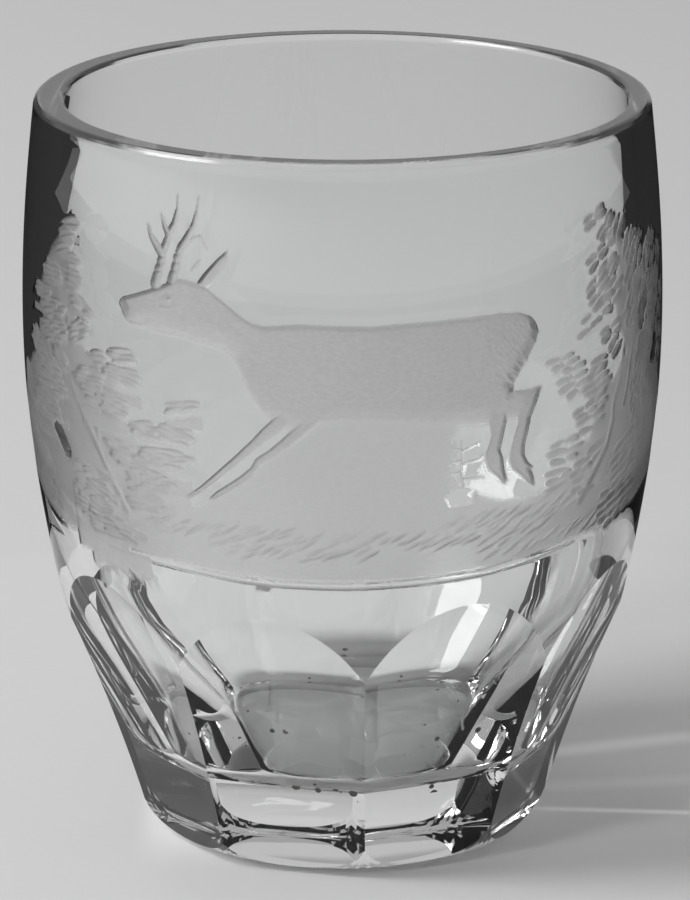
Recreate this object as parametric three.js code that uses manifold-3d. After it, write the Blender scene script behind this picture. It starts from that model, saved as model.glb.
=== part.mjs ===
// A cut glass tumbler, in millimetres, +Z up, standing on the plane z = 0 with its axis on z.
// It is one piece of glass: a blown barrel with a heavy floor, ground flat under the foot and on the
// rim. Hollow-ground panels stand side by side round its lower half. Each runs out in an arch above,
// and two neighbours meet in a sharp edge, which ends in a cusp above and in another at the heel.
import * as THREE from "three";
import { mergeVertices } from "three/addons/utils/BufferGeometryUtils.js";
import Module from "manifold-3d";

// The barrel's outside: its radius at a few heights, as it was blown, before any cutting.
const height = 90;
const rimRadius = 36.55;
const neckRadius = 37.45;
const neckHeight = 80;
const bellyRadius = 38.15;
const bellyHeight = 65;
const shoulderRadius = 37.45;
const shoulderHeight = 50;
const waistRadius = 36.06;
const waistHeight = 40;
const arrisRadius = 33.73; // where the edges between the panels end
const arrisHeight = 28;
const haunchRadius = 30.2; // behind the panels, all of it ground away
const haunchHeight = 16;
const footRadius = 19.4; // of the flat that it stands on
const heelRadius = 5.8; // rounding from that flat up to the side
const heelLean = 28; // degrees off upright, where the heel runs into the side

// The hollow. It sits a little off the axis, so one side of the wall is thicker, as on blown glass.
const hollowOffset = 0.45; // towards +X
const wall = 3.3;
const lowerWall = 4.5; // at the height where the panels' edges end
const floorThickness = 11;
const floorRadius = 17.2; // of the level middle of the floor
const bowlRadius = 21.1; // where the floor has turned up into the side
const bowlHeight = 13.8;
const flankRadius = 25.2; // on the slope between the bowl and the wall
const flankHeight = 20.5;

// The rim is ground flat, then both of its edges are rounded.
const rimOuterRound = 0.9;
const rimInnerRound = 0.7;

// The panels, each ground by the edge of a big wheel that runs up and down the glass.
const panelCount = 9;
const panelTurn = 5.5; // degrees from straight ahead (-Y) to the first edge, towards +X
const wheelRadius = 208;
const panelFootDepth = 22.35; // from the axis to the middle of a panel, at the foot
const panelTopDepth = 35.35; // the same where the arch peaks
const panelTopHeight = 36.2;

// The panels are ground by eye, so the two in front stray a little: in degrees round the glass, and
// in millimetres of depth at the foot and at the top.
const strays = new Map([
  [0, { turn: -0.7, foot: 0.25, top: -0.17 }],
  [8, { turn: -0.7, foot: -0.23, top: 0.22 }],
]);
const noStray = { turn: 0, foot: 0, top: 0 };

// How finely the round surfaces are faceted.
const facetsPerPanel = 8;
const sideSteps = 22;
const hollowSteps = 22;
const heelSteps = 5;
const roundSteps = 3;
const wheelSteps = 16;
const cutterMargin = 15; // how far a cutter reaches past the glass

const radians = THREE.MathUtils.degToRad;
const point = (radius, z) => new THREE.Vector2(radius, z);
const wasm = await Module();
wasm.setup();

// A closed geometry as a solid: shared vertices merged, and the slivers on a lathe's axis left out.
function toSolid(geometry) {
  geometry.deleteAttribute("normal");
  geometry.deleteAttribute("uv");
  const merged = mergeVertices(geometry, 1e-5);
  const corners = merged.index.array;
  const kept = [];
  for (let i = 0; i < corners.length; i += 3) {
    const [a, b, c] = [corners[i], corners[i + 1], corners[i + 2]];
    if (a !== b && b !== c && c !== a) kept.push(a, b, c);
  }
  const vertProperties = new Float32Array(merged.attributes.position.array);
  return new wasm.Manifold(new wasm.Mesh({ numProp: 3, vertProperties, triVerts: new Uint32Array(kept) }));
}

function toGeometry(solid) {
  const mesh = solid.getMesh();
  const geometry = new THREE.BufferGeometry();
  geometry.setAttribute("position", new THREE.BufferAttribute(mesh.vertProperties, 3));
  geometry.setIndex(new THREE.BufferAttribute(mesh.triVerts, 1));
  geometry.computeVertexNormals();
  return geometry;
}

// Revolves a profile about z, with its facets in step with the panels.
function revolve(profile) {
  const lathe = new THREE.LatheGeometry(profile, panelCount * facetsPerPanel, radians(panelTurn));
  return lathe.rotateX(Math.PI / 2);
}

// Points on an arc, from one angle to another, in degrees up from the radial direction.
function arc(centreRadius, centreZ, radius, from, to, steps) {
  return Array.from({ length: steps + 1 }, (_, i) => {
    const angle = radians(from + ((to - from) * i) / steps);
    return point(centreRadius + radius * Math.cos(angle), centreZ + radius * Math.sin(angle));
  });
}

function blownBarrel() {
  const heel = arc(footRadius, heelRadius, heelRadius, -90, -heelLean, heelSteps);
  const side = new THREE.SplineCurve([
    heel.at(-1),
    point(haunchRadius, haunchHeight),
    point(arrisRadius, arrisHeight),
    point(waistRadius, waistHeight),
    point(shoulderRadius, shoulderHeight),
    point(bellyRadius, bellyHeight),
    point(neckRadius, neckHeight),
    point(rimRadius, height - rimOuterRound),
  ]).getSpacedPoints(sideSteps);
  const rimEdge = arc(rimRadius - rimOuterRound, height - rimOuterRound, rimOuterRound, 0, 90, roundSteps);
  return revolve([point(0, 0), ...heel, ...side.slice(1), ...rimEdge.slice(1), point(0, height)]);
}

function hollow() {
  const mouthRadius = rimRadius - wall;
  const mouthEdge = arc(
    mouthRadius + rimInnerRound, height - rimInnerRound, rimInnerRound, 180, 90, roundSteps);
  const inside = new THREE.SplineCurve([
    point(floorRadius, floorThickness),
    point(bowlRadius, bowlHeight),
    point(flankRadius, flankHeight),
    point(arrisRadius - lowerWall, arrisHeight),
    point(waistRadius - (wall + lowerWall) / 2, waistHeight),
    point(shoulderRadius - wall, shoulderHeight),
    point(bellyRadius - wall, bellyHeight),
    point(neckRadius - wall, neckHeight),
    mouthEdge[0],
  ]).getSpacedPoints(hollowSteps);
  const mouthTop = height + cutterMargin;
  return revolve([
    point(0, floorThickness),
    ...inside,
    ...mouthEdge.slice(1),
    point(mouthRadius + rimInnerRound, mouthTop),
    point(0, mouthTop),
  ]).translate(hollowOffset, 0, 0);
}

// What the wheel grinds away for one panel: a slab outside the wheel's edge, wide enough to meet its
// neighbours, standing on its side so that its width runs along x and it faces -y.
function panelCut(stray) {
  const foot = point(panelFootDepth + stray.foot, 0);
  const top = point(panelTopDepth + stray.top, panelTopHeight);
  const across = top.clone().sub(foot);
  const reach = Math.sqrt(wheelRadius ** 2 - across.lengthSq() / 4);
  const outward = point(across.y, -across.x).normalize();
  const wheel = foot.clone().add(top).divideScalar(2).addScaledVector(outward, reach);
  const past = THREE.MathUtils.radToDeg(cutterMargin / wheelRadius);
  const angleTo = (p) => THREE.MathUtils.radToDeg(Math.atan2(p.y - wheel.y, p.x - wheel.x));
  const from = ((angleTo(foot) + 360) % 360) + past;
  const to = ((angleTo(top) + 360) % 360) - past;
  const edge = arc(wheel.x, wheel.y, wheelRadius, from, to, wheelSteps);
  const outside = bellyRadius + cutterMargin;
  const section = new THREE.Shape([...edge, point(outside, edge.at(-1).y), point(outside, edge[0].y)]);
  const width = 2 * outside * Math.tan(Math.PI / panelCount);
  const slab = new THREE.ExtrudeGeometry(section, { depth: width, bevelEnabled: false });
  return slab.translate(0, 0, -width / 2).rotateX(Math.PI / 2).rotateZ(-Math.PI / 2);
}

function glassBody() {
  let glass = toSolid(blownBarrel()).subtract(toSolid(hollow()));
  for (let i = 0; i < panelCount; i++) {
    const stray = strays.get(i) ?? noStray;
    const turn = radians(panelTurn + stray.turn) + ((i + 0.5) * 2 * Math.PI) / panelCount;
    glass = glass.subtract(toSolid(panelCut(stray).rotateZ(turn)));
  }
  return toGeometry(glass);
}

const clearGlass = new THREE.MeshStandardMaterial({
  color: 0xd4d6d6, roughness: 0.05, metalness: 0, transparent: true, opacity: 0.35 });

const tumbler = new THREE.Group();
const body = new THREE.Mesh(glassBody(), clearGlass);
body.name = "glass_body";
tumbler.add(body);

export default tumbler;
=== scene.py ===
import math

import bpy
import numpy as np
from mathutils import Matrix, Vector


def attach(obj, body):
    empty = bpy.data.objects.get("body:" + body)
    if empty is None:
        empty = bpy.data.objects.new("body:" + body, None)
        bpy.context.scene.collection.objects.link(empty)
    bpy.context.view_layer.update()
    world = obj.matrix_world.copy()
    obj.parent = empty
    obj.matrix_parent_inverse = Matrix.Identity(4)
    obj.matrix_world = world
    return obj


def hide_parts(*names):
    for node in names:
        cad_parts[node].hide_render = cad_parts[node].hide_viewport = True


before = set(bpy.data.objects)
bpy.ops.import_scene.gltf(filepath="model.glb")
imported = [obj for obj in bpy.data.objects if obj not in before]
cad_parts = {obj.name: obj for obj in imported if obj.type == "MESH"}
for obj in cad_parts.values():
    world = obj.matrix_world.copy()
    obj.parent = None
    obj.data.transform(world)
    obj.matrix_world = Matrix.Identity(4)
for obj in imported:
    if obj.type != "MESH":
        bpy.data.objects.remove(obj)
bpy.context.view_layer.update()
mm = 0.001

# the barrel as blown: radius and height in mm of its outside, from the heel to the rim
barrel = {
    "height": 90.0,
    "footRadius": 19.4,
    "heelRadius": 5.8,
    "heelLean": 28.0,  # degrees off upright where the heel runs into the side
    "stations": [(30.2, 16.0), (33.73, 28.0), (36.06, 40.0), (37.45, 50.0), (38.15, 65.0), (37.45, 80.0)],
    "rimRadius": 36.55,
    "rimOuterRound": 0.9,
    "rimInnerRound": 0.7,
}

# the hollow, blown a little off the axis
hollow = {
    "offset": 0.45,  # towards +X
    "wall": 3.3,
    "stations": [
        (21.1, 13.8), (25.2, 20.5), (29.2, 28.0), (32.2, 40.0), (34.15, 50.0), (34.85, 65.0), (34.15, 80.0)],
    "floorThickness": 11.0,
    "floorRadius": 17.2,
}

# the ground panels; a stray is (degrees round the glass, mm at the foot, mm at the top)
panels = {
    "count": 9,
    "turn": 5.5,  # degrees from -Y to the first edge, towards +X
    "wheelRadius": 208.0,
    "footDepth": 22.35,  # from the axis to the middle of a panel at the foot
    "topDepth": 35.35,  # and where its arch peaks
    "topHeight": 36.2,
    "strays": {0: (-0.7, 0.25, -0.17), 8: (-0.7, -0.23, 0.22)},
    "startWithin": 9.0,  # mm along the heel
    "endWithin": (18.0, 37.9),  # mm of height
    "evenOut": (38.0, 12.0),  # above this height, over that much, the columns go back to even spacing
}

# how finely the glass is meshed
grid = {
    "columnsPerPanel": 24,
    "heelRows": 6,
    "panelRows": 14,
    "barrelRows": 48,
    "roundRows": 4,
    "hollowRows": 24,
    "bowlRows": 9,
    "floorRows": 4,
    "outlineSteps": (60, 700),  # of heel and side, to measure along them
    "halvings": 40,  # of the stretch in which a panel's edge is looked for
    "smoothUnder": 7,  # degrees between faces
}


def editMode(wanted=True):
    bpy.ops.object.mode_set(mode="EDIT" if wanted else "OBJECT")


def selectOnly(piece):
    bpy.ops.object.select_all(action="DESELECT")
    bpy.context.view_layer.objects.active = piece
    piece.select_set(True)


def editPicked(mesh, kind, picked):
    # into edit mode with only the picked vertices, edges or faces of the active piece selected
    editMode()
    bpy.ops.mesh.select_mode(type=kind)
    bpy.ops.mesh.select_all(action="DESELECT")
    editMode(False)
    items = {"VERT": mesh.vertices, "EDGE": mesh.edges, "FACE": mesh.polygons}[kind]
    items.foreach_set("select", picked)
    editMode()


def readMesh(items, key, width=1, kind=float):
    # one value, or a row of them, for each vertex, edge, corner or face
    values = np.empty(len(items) * width, dtype=kind)
    items.foreach_get(key, values)
    return values.reshape(-1, width) if width > 1 else values


def splineThrough(points):
    # a curve of even bend through points (radius, height); gives radius at a height
    zs = np.array([p[1] for p in points], float)
    rs = np.array([p[0] for p in points], float)
    n = len(zs)
    gap = np.diff(zs)
    system = np.zeros((n, n))
    right = np.zeros(n)
    system[0, 0] = system[-1, -1] = 1
    for i in range(1, n - 1):
        system[i, i - 1:i + 2] = gap[i - 1], 2 * (gap[i - 1] + gap[i]), gap[i]
        right[i] = 6 * ((rs[i + 1] - rs[i]) / gap[i] - (rs[i] - rs[i - 1]) / gap[i - 1])
    bend = np.linalg.solve(system, right)

    def radiusAt(z):
        z = np.asarray(z, float)
        k = np.clip(np.searchsorted(zs, z) - 1, 0, n - 2)
        h = gap[k]
        a = (zs[k + 1] - z) / h
        b = (z - zs[k]) / h
        return (a * rs[k] + b * rs[k + 1]
                + ((a ** 3 - a) * bend[k] + (b ** 3 - b) * bend[k + 1]) * h * h / 6)
    return radiusAt


def heelPoint(angle):
    return (barrel["footRadius"] + barrel["heelRadius"] * np.cos(angle),
            barrel["heelRadius"] * (1 + np.sin(angle)))


heelEnd = heelPoint(-math.radians(barrel["heelLean"]))
rimEdgeHeight = barrel["height"] - barrel["rimOuterRound"]
barrelRadius = splineThrough([heelEnd] + barrel["stations"] + [(barrel["rimRadius"], rimEdgeHeight)])


def outlineTable():
    # the blank's outside as a long run of (radius, height), to walk along by length
    heelSteps, sideSteps = grid["outlineSteps"]
    heelR, heelZ = heelPoint(np.radians(np.linspace(-90, -barrel["heelLean"], heelSteps)))
    sideZ = np.linspace(heelEnd[1], rimEdgeHeight, sideSteps)[1:]
    r = np.concatenate([heelR, barrelRadius(sideZ)])
    z = np.concatenate([heelZ, sideZ])
    walked = np.concatenate([[0], np.cumsum(np.hypot(np.diff(r), np.diff(z)))])
    return r, z, walked


outlineR, outlineZ, outlineU = outlineTable()


def outlineAt(u):
    return np.interp(u, outlineU, outlineR), np.interp(u, outlineU, outlineZ)


def panelStray(i):
    return panels["strays"].get(i % panels["count"], (0.0, 0.0, 0.0))


def panelFacing(i):
    return math.radians(panels["turn"] + panelStray(i)[0] + (i % panels["count"] + 0.5) * 360 / panels["count"])


def panelDepth(i, z):
    # distance from the axis to panel i at a height: the edge of the wheel that ground it
    stray = panelStray(i)
    foot = np.array([panels["footDepth"] + stray[1], 0.0])
    top = np.array([panels["topDepth"] + stray[2], panels["topHeight"]])
    half = np.linalg.norm(top - foot) / 2
    outward = np.array([top[1] - foot[1], foot[0] - top[0]]) / (2 * half)
    wheel = (foot + top) / 2 + outward * math.sqrt(panels["wheelRadius"] ** 2 - half ** 2)
    return wheel[0] - np.sqrt(panels["wheelRadius"] ** 2 - (z - wheel[1]) ** 2)


def edgeAzimuth(i, z):
    # where panel i - 1 and panel i meet at a height, in radians from -Y towards +X
    z = np.asarray(z, float)
    evenFrom, evenOver = panels["evenOut"]
    a, b = panelFacing(i - 1), panelFacing(i)
    lowZ = np.minimum(z, evenFrom)
    da, db = panelDepth(i - 1, lowZ), panelDepth(i, lowZ)
    meet = np.arctan2(db * np.cos(a) - da * np.cos(b), da * np.sin(b) - db * np.sin(a))
    nominal = math.radians(panels["turn"] + (i % panels["count"]) * 360 / panels["count"])
    meet = nominal + (meet - nominal + math.pi) % (2 * math.pi) - math.pi
    fade = np.clip((z - evenFrom) / evenOver, 0, 1)
    fade = fade * fade * (3 - 2 * fade)
    return meet * (1 - fade) + nominal * fade


def azimuthAt(i, t, z):
    start, end = edgeAzimuth(i, z), edgeAzimuth(i + 1, z)
    if (i + 1) % panels["count"] == 0:
        end = end + 2 * math.pi
    return start + (end - start) * t


def crossing(inside, low, high):
    # halves the stretch from low to high until inside(x) changes sign there
    low, high = low.copy(), high.copy()
    for _ in range(grid["halvings"]):
        mid = (low + high) / 2
        hit = inside(mid)
        low = np.where(hit, mid, low)
        high = np.where(hit, high, mid)
    return (low + high) / 2


def groundRows():
    # for each column of the mesh, the rows of the outside as (azimuth, radius, height)
    per = grid["columnsPerPanel"]
    t = np.arange(per) / per
    columns = []
    for i in range(panels["count"]):
        facing = panelFacing(i)

        def notYetGround(u):
            r, z = outlineAt(u)
            return r * np.cos(azimuthAt(i, t, z) - facing) < panelDepth(i, z)

        def stillGround(z):
            return barrelRadius(z) * np.cos(azimuthAt(i, t, z) - facing) > panelDepth(i, z)

        low = crossing(notYetGround, np.zeros(per), np.full(per, panels["startWithin"]))
        high = crossing(stillGround, *(np.full(per, z) for z in panels["endWithin"]))
        lowZ = outlineAt(low)[1]
        highU = np.interp(high, outlineZ, outlineU)
        rows = []
        for k in range(grid["heelRows"]):
            r, z = outlineAt(low * k / grid["heelRows"])
            rows.append((azimuthAt(i, t, lowZ), r, z))
        for k in range(grid["panelRows"]):
            z = lowZ + (high - lowZ) * k / grid["panelRows"]
            phi = azimuthAt(i, t, z)
            rows.append((phi, panelDepth(i, z) / np.cos(phi - facing), z))
        for k in range(grid["barrelRows"] + 1):
            u = highU + (outlineU[-1] - highU) * k / grid["barrelRows"]
            z = np.interp(u, outlineU, outlineZ)
            rows.append((azimuthAt(i, t, z), barrelRadius(z), z))
        columns.append(np.array(rows))
    return np.concatenate(columns, axis=2)  # row, (azimuth, radius, height), column


def arcPoints(centreR, centreZ, radius, start, end, steps):
    angles = np.radians(np.linspace(start, end, steps + 1))
    return [(centreR + radius * math.cos(a), centreZ + radius * math.sin(a)) for a in angles]


def hollowPoints():
    # down the inside, from the mouth's rounded edge to the middle of the floor
    mouth = barrel["rimRadius"] - hollow["wall"]
    edge = barrel["rimInnerRound"]
    top = barrel["height"] - edge
    floorZ = hollow["floorThickness"]
    points = arcPoints(mouth + edge, top, edge, 90, 180, grid["roundRows"])
    inside = splineThrough(hollow["stations"] + [(mouth, top)])
    bowlR, bowlZ = hollow["stations"][0]
    for z in np.linspace(top, bowlZ, grid["hollowRows"] + 1)[1:]:
        points.append((float(inside(z)), float(z)))
    # the bowl turns in to the level floor on a curve that leaves the side in its own direction
    nudge = 0.01
    slope = float(inside(bowlZ + nudge) - inside(bowlZ)) / nudge
    start = np.array([bowlR, bowlZ])
    corner = np.array([bowlR - slope * (bowlZ - floorZ), floorZ])
    end = np.array([hollow["floorRadius"], floorZ])
    for s in np.linspace(0, 1, grid["bowlRows"] + 1)[1:]:
        point = (1 - s) ** 2 * start + 2 * s * (1 - s) * corner + s * s * end
        points.append((float(point[0]), float(point[1])))
    for k in range(1, grid["floorRows"] + 1):
        points.append((hollow["floorRadius"] * (1 - k / grid["floorRows"]), floorZ))
    return points


def drawOutline(points, turn):
    # a single corner of a plane, extruded point by point along the outline; turn is round from -Y towards +X
    bpy.ops.object.select_all(action="DESELECT")
    here = np.array(points[0], float)
    start = (here[0] * math.sin(turn) * mm, -here[0] * math.cos(turn) * mm, here[1] * mm)
    bpy.ops.mesh.primitive_plane_add(size=0.001, location=start)
    bpy.ops.object.transform_apply(location=True, rotation=True, scale=True)
    piece = bpy.context.object
    editMode()
    bpy.ops.mesh.select_all(action="SELECT")
    bpy.ops.mesh.merge(type="CENTER")
    for point in points[1:]:
        step = (np.array(point) - here) * mm
        here = np.array(point)
        move = (step[0] * math.sin(turn), -step[0] * math.cos(turn), step[1])
        bpy.ops.mesh.extrude_region_move(TRANSFORM_OT_translate={"value": move})
    editMode(False)
    # extruding shuffles the order, so each vertex is told its place on the outline
    wanted = np.array([(r * math.sin(turn), -r * math.cos(turn), z) for r, z in points]) * mm
    row = piece.data.attributes.new("row", "INT", "POINT")
    for vertex in piece.data.vertices:
        row.data[vertex.index].value = int(np.argmin(np.linalg.norm(wanted - np.array(vertex.co), axis=1)))
    return piece


def blowGlass():
    outside = groundRows()
    outerCount = outside.shape[0]
    rim = arcPoints(barrel["rimRadius"] - barrel["rimOuterRound"], rimEdgeHeight, barrel["rimOuterRound"],
                    0, 90, grid["roundRows"])[1:]
    foot = [(0.0, 0.0), (barrel["footRadius"] * 0.5, 0.0)]
    middle = [(float(outside[k, 1, 0]), float(outside[k, 2, 0])) for k in range(outerCount)]
    turn = math.radians(panels["turn"])
    piece = drawOutline(foot + middle + rim + hollowPoints(), turn)
    editMode()
    bpy.ops.mesh.select_all(action="SELECT")
    columns = panels["count"] * grid["columnsPerPanel"]
    bpy.ops.mesh.spin(steps=columns, angle=2 * math.pi, center=(0, 0, 0), axis=(0, 0, 1))
    bpy.ops.mesh.select_all(action="SELECT")
    bpy.ops.mesh.remove_doubles(threshold=1e-6)
    editMode(False)
    mesh = piece.data
    at = readMesh(mesh.vertices, "co", 3)
    row = readMesh(mesh.attributes["row"].data, "value", kind=np.int32) - len(foot)
    azimuth = np.arctan2(at[:, 0], -at[:, 1]) - turn
    column = np.round(azimuth / (2 * math.pi) * columns).astype(int) % columns
    outer = (row >= 0) & (row < outerCount)
    phi, r, z = (outside[row[outer], k, column[outer]] for k in range(3))
    at[outer] = np.stack([r * np.sin(phi), -r * np.cos(phi), z], 1) * mm
    at[row >= outerCount + len(rim), 0] += hollow["offset"] * mm
    mesh.vertices.foreach_set("co", at.ravel())
    mesh.update()
    print("glass blown and ground:", len(at), "vertices")
    return piece


# the wheel-engraved scene, in mm on the glass: (round, height), where round is measured along the girth
# from the middle of the front and grows towards +X
engraving = {
    "girth": 38.0,  # radius at which the round measure is true
    "lowest": 38.4,  # clear of the arches of the ground panels
    "rimGap": 1.0,  # mm kept clear under the rim's rounding
    "skin": 0.9,  # mm under the blown surface that still count as the outside
    "allowed": [0.005, 0.010, 0.026],  # mm that a face may miss the cuts by before it is halved, time after time
    "tests": 6,  # places along each side of a face where it is tested
    "seam": 3,  # mm: a wider face lies across the seam at the back
    "pointed": 0.55,  # how far an olive cut narrows to its ends
    "steepSide": 0.5,  # how steep the walls are that face sideways
    "steepTop": 0.87,  # and upwards
    "shallow": (0.62, 0.055),  # share of matt, and the depth in mm at which it is reached
    "deeper": (0.38, 0.06, 0.12),  # the rest of it, from this depth on, over that much more
    "rimMatt": 0.32,
    "rimBand": 0.6,  # mm under the top
    "paintedShadeStep": 0.06,  # mm down the glass over which a cut's fall is measured
    "paintedShadeLean": 0.35,
    "paintedShadeFall": (0.05, 1.1),  # fall at which the painted shade starts, and the fall more that fills it
}

roebuck = {
    "depth": 0.34,
    "edgeTop": 0.50,  # mm from the back line to full depth
    "edgeLow": 2.6,  # and from the belly
    "outline": [
        (-27.8, 72.2), (-27.2, 72.7), (-25.6, 73.3), (-24.1, 73.9), (-22.3, 74.6), (-20.9, 75.3), (-19.8, 75.9),
        (-18.5, 75.8), (-17.2, 75.6), (-16.0, 75.3), (-15.2, 74.7), (-13.6, 73.7), (-11.8, 72.4), (-10.3, 71.6),
        (-8.9, 71.4), (-4.8, 71.8), (-0.3, 71.7), (3.3, 71.6), (6.5, 71.8), (11.2, 71.9), (14.8, 72.0),
        (18.6, 72.1), (21.0, 71.9), (22.5, 71.3), (23.4, 70.4), (23.9, 69.0), (23.4, 67.7), (22.6, 66.4),
        (21.5, 65.0), (20.5, 63.5), (20.4, 62.7), (22.6, 62.6), (24.5, 62.9), (24.1, 61.8), (23.2, 60.2),
        (22.6, 58.8), (20.5, 59.1), (19.0, 58.9), (17.4, 58.8), (14.8, 58.9), (10.0, 59.1), (5.4, 59.6),
        (0.8, 59.9), (-2.5, 59.6), (-4.8, 58.8), (-6.4, 59.1), (-7.6, 60.0), (-9.2, 61.1), (-9.9, 62.2),
        (-10.8, 63.6), (-11.7, 65.7), (-12.7, 67.4), (-13.9, 68.1), (-16.0, 68.4), (-18.5, 68.8), (-20.5, 68.9),
        (-22.6, 69.0), (-24.3, 69.2), (-25.8, 69.3), (-26.7, 69.5), (-27.2, 70.2), (-27.7, 71.1), (-28.0, 71.7)],
    "limbs": [
        [(21.1, 61.1), (24.2, 62.5), (23.5, 60.6), (22.8, 59.1), (22.5, 57.5), (22.1, 56.0), (22.1, 54.8),
         (22.7, 53.8), (23.6, 53.1), (23.2, 52.8), (23.7, 51.7), (23.8, 50.6), (23.0, 51.1), (21.8, 52.3),
         (20.6, 53.2), (20.2, 54.2), (20.2, 55.4), (20.6, 57.1), (21.1, 58.6)],
        [(17.0, 60.9), (19.8, 60.8), (19.6, 59.4), (19.3, 58.2), (19.0, 56.8), (18.8, 55.9), (19.2, 54.9),
         (19.4, 53.6), (19.9, 52.0), (19.5, 51.6), (18.7, 52.5), (17.5, 53.6), (17.0, 54.7), (16.9, 55.5),
         (17.3, 56.6), (17.6, 57.7), (17.3, 59.0)],
        [(-5.6, 63.0), (-9.2, 59.4), (-10.6, 57.8), (-12.8, 55.6), (-14.4, 54.1), (-15.9, 52.7), (-17.5, 51.3),
         (-19.2, 50.1), (-18.6, 49.8), (-17.1, 50.8), (-15.4, 52.0), (-13.6, 53.6), (-11.9, 55.1), (-9.7, 56.9),
         (-8.0, 58.2), (-3.6, 62.0)],
        [(-2.6, 62.4), (-6.6, 58.6), (-8.3, 57.0), (-10.0, 55.8), (-10.7, 54.6), (-11.9, 53.5), (-13.4, 52.4),
         (-15.0, 51.3), (-16.2, 50.1), (-15.4, 50.0), (-14.0, 50.9), (-12.5, 51.9), (-10.7, 53.2), (-9.3, 55.0),
         (-7.7, 56.0), (-6.0, 57.2), (-0.6, 61.8)],
        [(-17.2, 75.5), (-16.1, 77.0), (-15.1, 78.1), (-14.2, 79.1), (-13.3, 79.9), (-13.4, 78.8), (-14.0, 77.6),
         (-14.5, 76.6), (-15.2, 75.5), (-16.2, 74.9)]],
    "limbDepth": (0.26, 0.30, 0.6),  # depth, and mm to it from above and from below
    # (middle, half length, half height, lean in degrees, how much deeper) of the rounded muscles
    "muscles": [
        ((-7.0, 64.5), 2.6, 5.0, -18, 0.12), ((19.5, 66.0), 3.6, 5.5, 14, 0.16),
        ((3.0, 66.0), 4.0, 3.4, 4, 0.06), ((-15.0, 71.0), 3.5, 1.6, -28, 0.12),
        ((-21.2, 72.5), 2.6, 1.6, 12, 0.10), ((-25.0, 71.4), 1.6, 1.0, 14, 0.08),
        ((11.0, 65.0), 2.6, 3.6, -8, -0.05), ((-1.5, 62.5), 2.8, 2.4, 10, -0.06)],
    # wheel strokes: points, width at the start and the end, depth
    "strokes": [
        ([(-22.6, 75.0), (-22.2, 76.5), (-21.9, 77.6), (-21.7, 78.9)], 1.50, 1.05, 0.30),
        ([(-21.9, 78.5), (-22.6, 79.3), (-23.4, 80.2), (-24.0, 81.5)], 1.15, 0.36, 0.24),
        ([(-21.7, 78.9), (-21.2, 80.2), (-21.0, 81.1)], 0.98, 0.80, 0.24),
        ([(-21.0, 80.6), (-21.6, 81.6), (-22.2, 83.0)], 0.80, 0.32, 0.20),
        ([(-21.1, 80.9), (-20.4, 82.0), (-20.0, 83.7), (-20.0, 85.4)], 0.80, 0.30, 0.22),
        ([(-20.4, 75.4), (-20.0, 76.9), (-19.8, 78.3), (-19.3, 79.5)], 1.40, 0.95, 0.29),
        ([(-19.4, 79.4), (-18.6, 80.7), (-17.8, 82.2), (-17.4, 83.8), (-17.2, 85.5)], 0.95, 0.30, 0.24),
        ([(-18.9, 79.8), (-17.7, 80.8), (-16.9, 81.1), (-15.8, 79.6)], 0.32, 0.14, 0.10),
        ([(-18.2, 81.3), (-18.5, 82.5)], 0.30, 0.12, 0.10),
        ([(-17.9, 77.0), (-17.3, 77.8), (-16.7, 78.4)], 0.30, 0.14, 0.10)],
    # lines left or cut deeper in the head: eye, brow, mouth, nostril and cheek
    "features": [
        ([(-21.2, 73.25), (-20.8, 73.35)], 0.30, 0.24, 0.14),
        ([(-22.0, 73.6), (-21.3, 73.9), (-20.3, 73.9)], 0.22, 0.12, -0.08),
        ([(-26.2, 69.9), (-25.0, 69.8), (-23.7, 70.1)], 0.20, 0.12, 0.14),
        ([(-27.3, 72.2), (-26.9, 71.9)], 0.26, 0.18, 0.16),
        ([(-22.2, 72.2), (-21.1, 72.2), (-20.2, 72.5)], 0.24, 0.12, 0.08),
        ([(-16.5, 76.1), (-15.3, 77.6), (-14.3, 79.0)], 0.60, 0.30, 0.13)],
    # rings of pearls left round the foot of each antler: points, and width at the start
    "pearls": [
        ([(-22.9, 76.3), (-21.9, 76.6)], 0.30), ([(-22.6, 77.2), (-21.6, 77.5)], 0.30),
        ([(-22.4, 78.1), (-21.3, 78.3)], 0.28), ([(-20.9, 76.7), (-19.7, 76.8)], 0.30),
        ([(-20.6, 77.7), (-19.4, 77.8)], 0.30), ([(-20.3, 78.7), (-19.1, 78.8)], 0.28)],
    "pearlEnd": (0.22, -0.10),
}

# short hairs over the rump and down the back of the thigh
fur = {
    "count": 130,
    "round": (16.5, 23.2),
    "height": (61.5, 71.5),
    "edge": (23.6, 69.0, 0.035, 0.16),  # the rump's outline: furthest out, its height, its bend, its fall below
    "lean": (-62, -40),
    "halfLength": (0.35, 0.6),
    "halfWidth": 0.10,
    "depth": 0.06,
    "onDepth": 0.02,  # only where the body is cut deeper than this
}

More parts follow.
